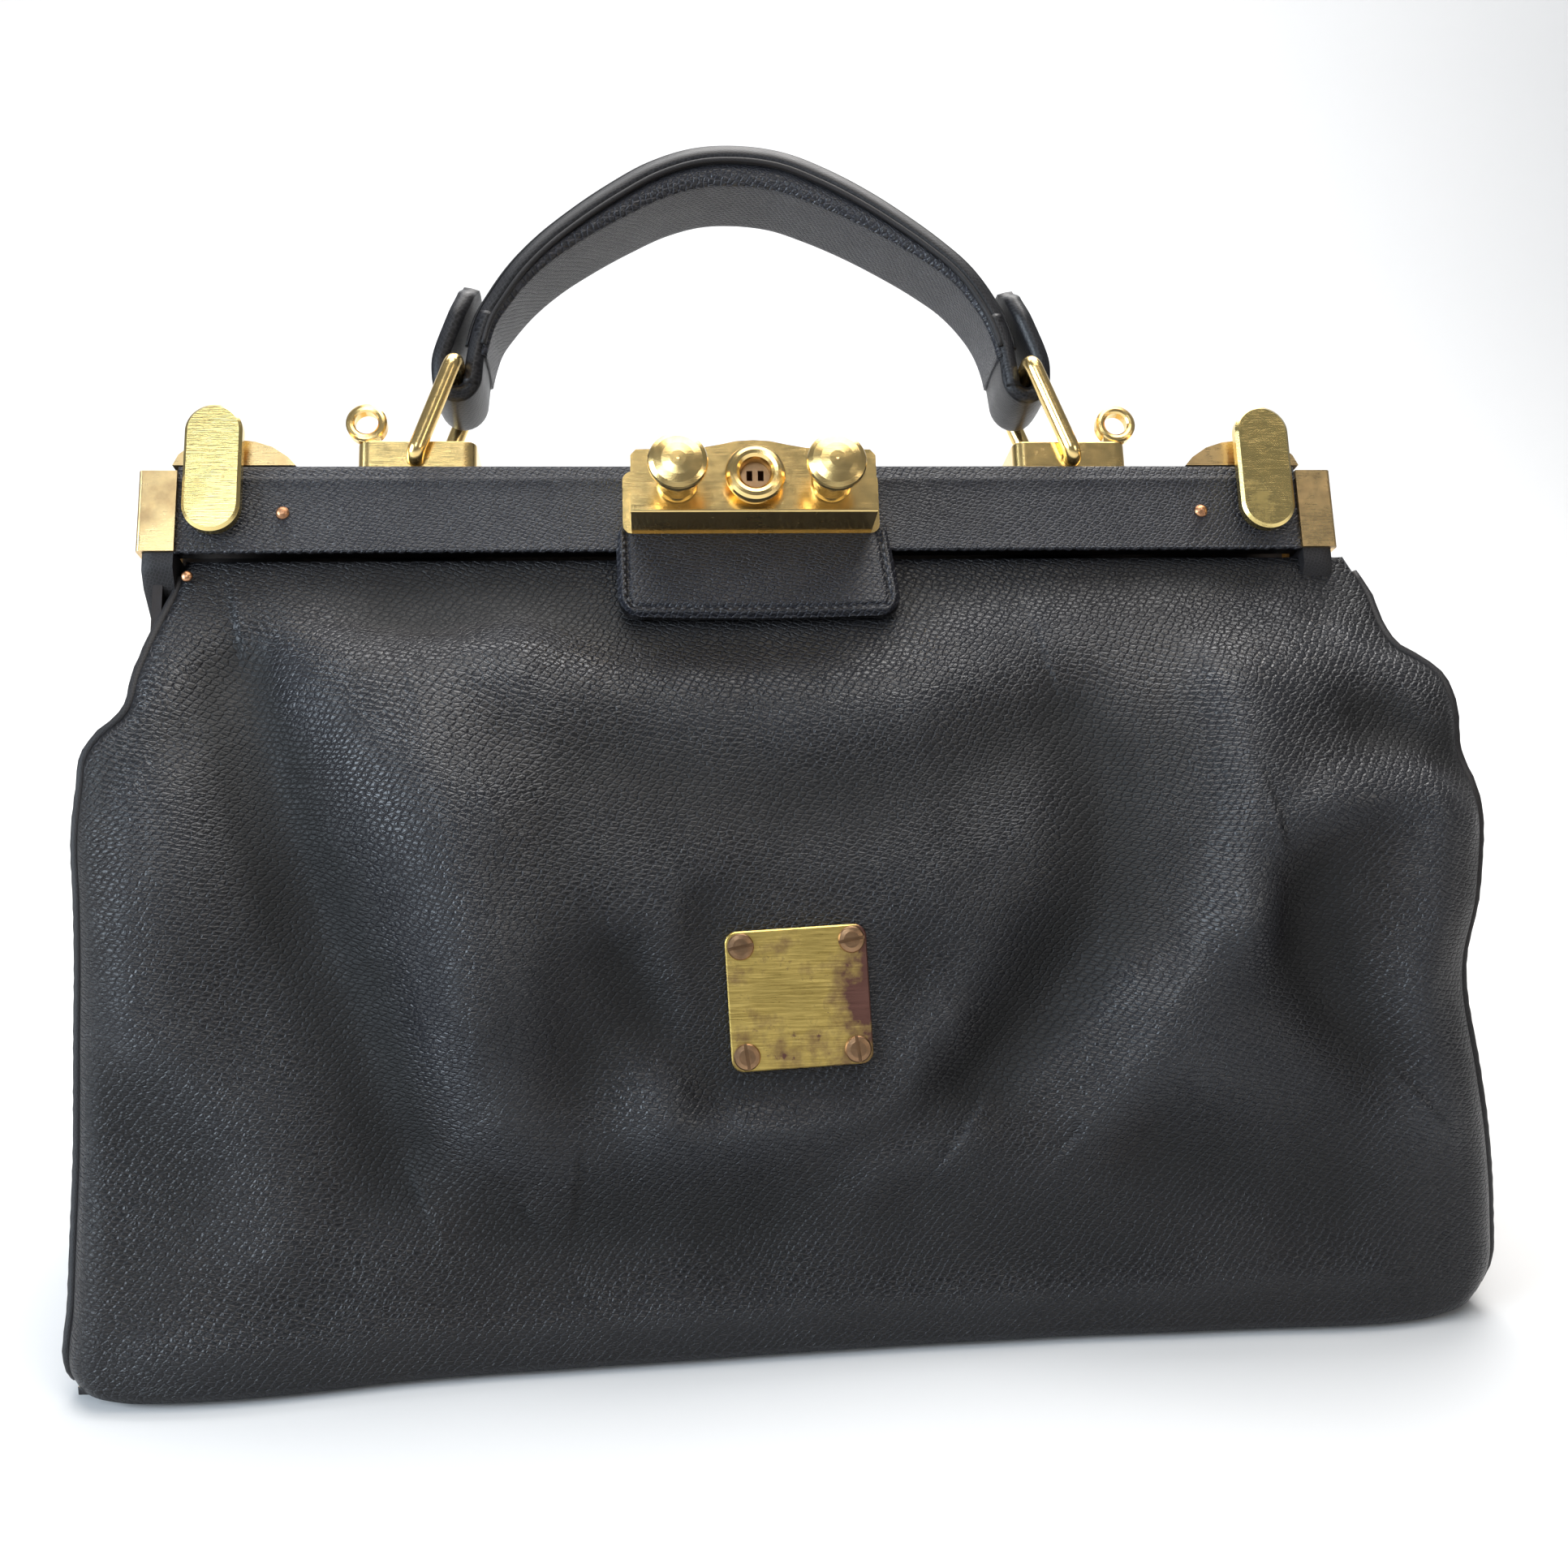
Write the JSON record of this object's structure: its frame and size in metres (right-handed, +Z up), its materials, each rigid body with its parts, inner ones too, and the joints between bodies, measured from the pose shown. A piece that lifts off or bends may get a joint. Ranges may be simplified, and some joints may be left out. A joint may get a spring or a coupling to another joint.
{
  "type": "doctor bag",
  "caption": "Leather doctor bag with a hinged frame mouth, leaning top, twin-knob lock, side clips, screwed plate and a swivelling carry handle.",
  "frame": {"origin": "middle of the base, on the ground", "axes": "+X to the bag's own right seen from the front, +Y to the back, +Z up; the front with the lock faces -Y"},
  "size_m": [0.348, 0.1586, 0.3016],
  "materials": {
    "leather_black": "satin, fine pebbled grain",
    "leather_handle": "smooth satin",
    "lining_fabric": "woven cotton",
    "brass": "polished, worn and tarnished",
    "brass_dull": "aged, brown tarnish",
    "copper_rivet": "aged copper alloy",
    "steel": "plain",
    "bronze_screw": "dark bronze",
    "board": "matt"
  },
  "bodies": {
    "bag": {"base_leather": "leather_black", "base_board": "board", "lining": "lining_fabric", "front_panel_lower": "leather_black", "rear_panel": "leather_black", "gusset_left": "leather_black", "gusset_right": "leather_black", "rear_frame": "steel", "rear_band_leather": "leather_black", "rear_cap_left": "brass_dull", "rear_cap_right": "brass_dull", "hinge_pin_left": "steel", "hinge_pin_right": "steel", "handle_block_left": "brass", "handle_block_right": "brass", "strap_eyelet_left": "brass", "strap_eyelet_right": "brass", "lock_keeper": "brass_dull", "name_plate": "brass", "plate_screws": "bronze_screw", "plate_nuts": "steel"},
    "front_half": {"front_frame": "steel", "front_band_leather": "leather_black", "front_cap_left": "brass", "front_cap_right": "brass", "band_rivets": "copper_rivet", "front_panel_upper": "leather_black", "lock_tab": "leather_black", "lock_backplate": "brass", "lock_case": "brass", "keyhole_ring": "brass", "clip_base_left": "brass", "clip_base_right": "brass", "clip_pin_left": "steel", "clip_pin_right": "steel", "bolt_spring_left": "steel", "bolt_spring_right": "steel"},
    "clip_left": {"clip_lever_left": "brass"},
    "clip_right": {"clip_lever_right": "brass"},
    "bolt_left": {"knob_left": "brass", "lock_bolt_left": "steel"},
    "bolt_right": {"knob_right": "brass", "lock_bolt_right": "steel"},
    "key_cylinder": {"key_plug": "brass"},
    "ring_left": {"handle_ring_left": "brass"},
    "ring_right": {"handle_ring_right": "brass"},
    "handle": {"handle_leather": "leather_handle"}
  },
  "joints": [
    {"name": "frame_hinge", "type": "hinge", "parent": "bag", "child": "front_half", "pos_m": [0, -0.0159, 0.1412], "axis": [1, 0, 0], "range_deg": [0, 75]},
    {"name": "clip_left_hinge", "type": "hinge", "parent": "front_half", "child": "clip_left", "pos_m": [-0.1405, 0.01493, 0.21628], "axis": [-1, 0, 0], "range_deg": [0, 110]},
    {"name": "clip_right_hinge", "type": "hinge", "parent": "front_half", "child": "clip_right", "pos_m": [0.1405, 0.01493, 0.21628], "axis": [-1, 0, 0], "range_deg": [0, 110]},
    {"name": "bolt_left_slide", "type": "slide", "parent": "front_half", "child": "bolt_left", "axis": [-1, 0, 0], "range_m": [0, 0.003], "stiffness_N_per_m": 300, "springref_m": -0.002, "deforming": ["bolt_spring_left"]},
    {"name": "bolt_right_slide", "type": "slide", "parent": "front_half", "child": "bolt_right", "axis": [1, 0, 0], "range_m": [0, 0.003], "stiffness_N_per_m": 300, "springref_m": -0.002, "deforming": ["bolt_spring_right"]},
    {"name": "key_turn", "type": "hinge", "parent": "front_half", "child": "key_cylinder", "pos_m": [0, -0.00944, 0.21148], "axis": [0, -0.8988, 0.4384], "range_deg": [0, 90]},
    {"name": "ring_left_pivot", "type": "hinge", "parent": "bag", "child": "ring_left", "pos_m": [-0.0896, 0.0277, 0.21006], "axis": [0, 0.8988, -0.4384], "range_deg": [-10, 10]},
    {"name": "handle_pivot", "type": "hinge", "parent": "ring_left", "child": "handle", "pos_m": [-0.0794, 0.03997, 0.23522], "axis": [0, 0.8988, -0.4384], "range_deg": [-11.8, 11.8]},
    {"name": "ring_right_pivot", "type": "hinge", "parent": "bag", "child": "ring_right", "pos_m": [0.0896, 0.0277, 0.21006], "axis": [0, 0.8988, -0.4384], "range_deg": [-10.2, 10.2]}
  ],
  "couplings": [
    {"joint": "handle_pivot", "follows": "ring_left_pivot", "ratio": -1.1285},
    {"joint": "ring_right_pivot", "follows": "ring_left_pivot", "ratio": 1}
  ]
}
